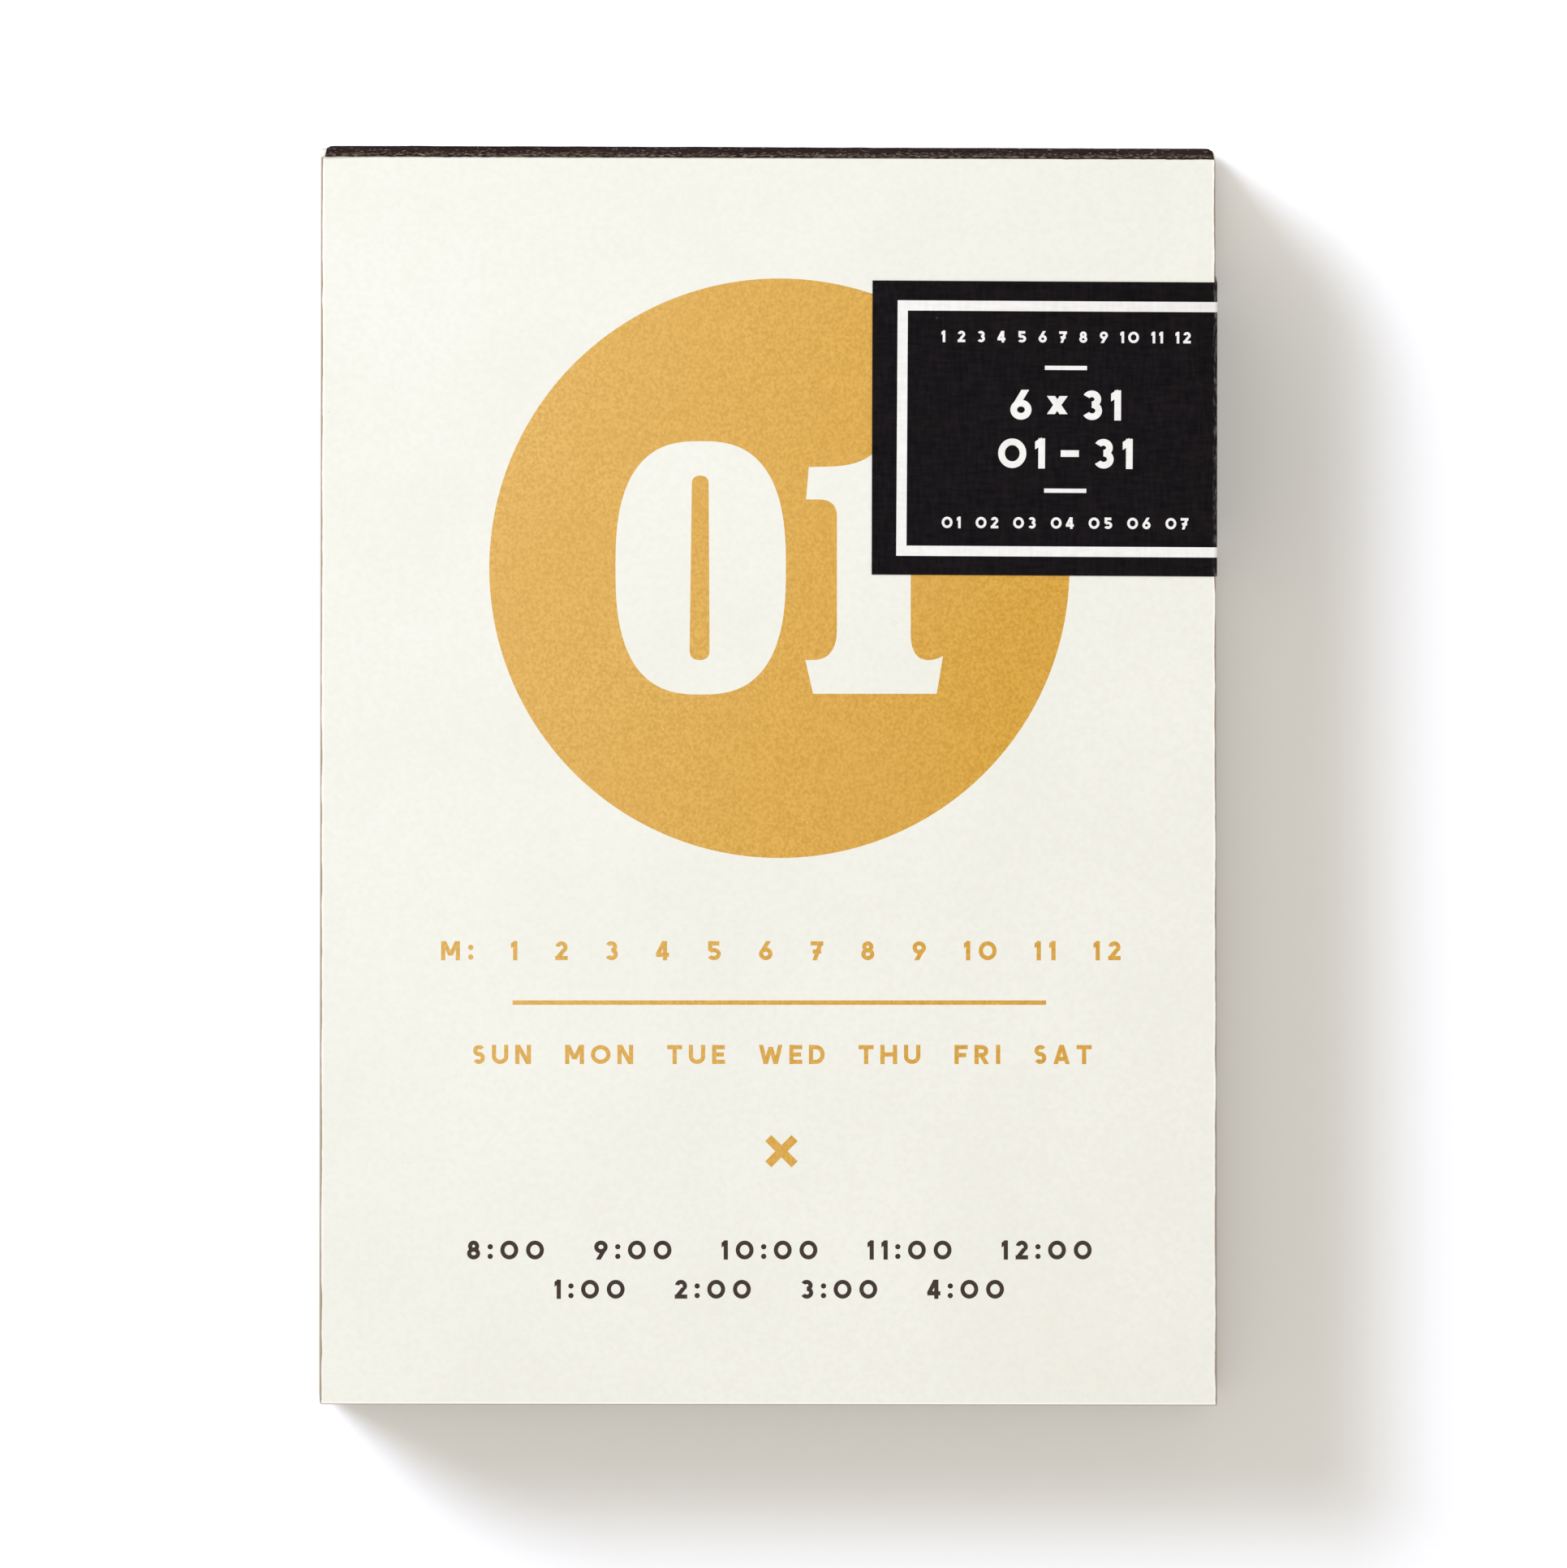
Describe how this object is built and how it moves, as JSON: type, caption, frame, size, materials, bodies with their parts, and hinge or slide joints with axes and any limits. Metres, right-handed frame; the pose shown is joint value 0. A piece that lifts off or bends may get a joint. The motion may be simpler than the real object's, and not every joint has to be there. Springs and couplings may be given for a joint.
{
  "type": "tear-off day calendar",
  "caption": "Thick upright pad of undated day sheets, glued along its head to a board back with a fold-out easel leg; sheets lift on the glue line and tear off.",
  "frame": {"origin": "centre of the overall outline, on the desk that the pad lies on", "axes": "+X to the right of the page, +Y to the glued head, +Z out of the printed front"},
  "size_m": [0.1272, 0.1782, 0.0277],
  "materials": {
    "page_paper": "uncoated",
    "label_paper": "linen embossed",
    "padding_glue": "satin",
    "greyboard": "matt",
    "easel_board": "matt"
  },
  "bodies": {
    "block": {"backing_board": "greyboard", "head_glue": "padding_glue", "day_sheet_05": "page_paper", "day_sheet_06": "page_paper", "day_sheet_07": "page_paper", "month_1_sheets": "page_paper", "month_2_sheets": "page_paper", "month_3_sheets": "page_paper", "month_4_sheets": "page_paper", "month_5_sheets": "page_paper", "month_6_sheets": "page_paper", "label_side": "label_paper", "label_back": "label_paper", "easel_plate": "easel_board", "lock_base": "easel_board"},
    "sheet_04": {"day_sheet_04": "page_paper"},
    "sheet_03": {"day_sheet_03": "page_paper"},
    "sheet_02": {"day_sheet_02": "page_paper"},
    "sheet_01": {"day_sheet_01": "page_paper", "label_front": "label_paper"},
    "leg": {"easel_leg": "easel_board"},
    "lock": {"lock_tab": "easel_board"}
  },
  "joints": [
    {"name": "sheet_04_lift", "type": "hinge", "parent": "block", "child": "sheet_04", "pos_m": [0, 0.08865, 0.02758], "axis": [-1, 0, 0], "range_deg": [0, 50]},
    {"name": "sheet_03_lift", "type": "hinge", "parent": "sheet_04", "child": "sheet_03", "pos_m": [0, 0.08865, 0.02758], "axis": [-1, 0, 0], "range_deg": [0, 55]},
    {"name": "sheet_02_lift", "type": "hinge", "parent": "sheet_03", "child": "sheet_02", "pos_m": [0, 0.08865, 0.02758], "axis": [-1, 0, 0], "range_deg": [0, 60]},
    {"name": "sheet_01_tear_off", "type": "slide", "parent": "sheet_02", "child": "sheet_01", "axis": [0, -1, 0], "range_m": [0, 0.18]},
    {"name": "leg_swing", "type": "hinge", "parent": "block", "child": "leg", "pos_m": [0, 0.02585, 0.0001], "axis": [1, 0, 0], "range_deg": [0, 30]},
    {"name": "lock_fold", "type": "hinge", "parent": "block", "child": "lock", "pos_m": [0, -0.04015, 0.0001], "axis": [-1, 0, 0], "range_deg": [0, 90]}
  ]
}
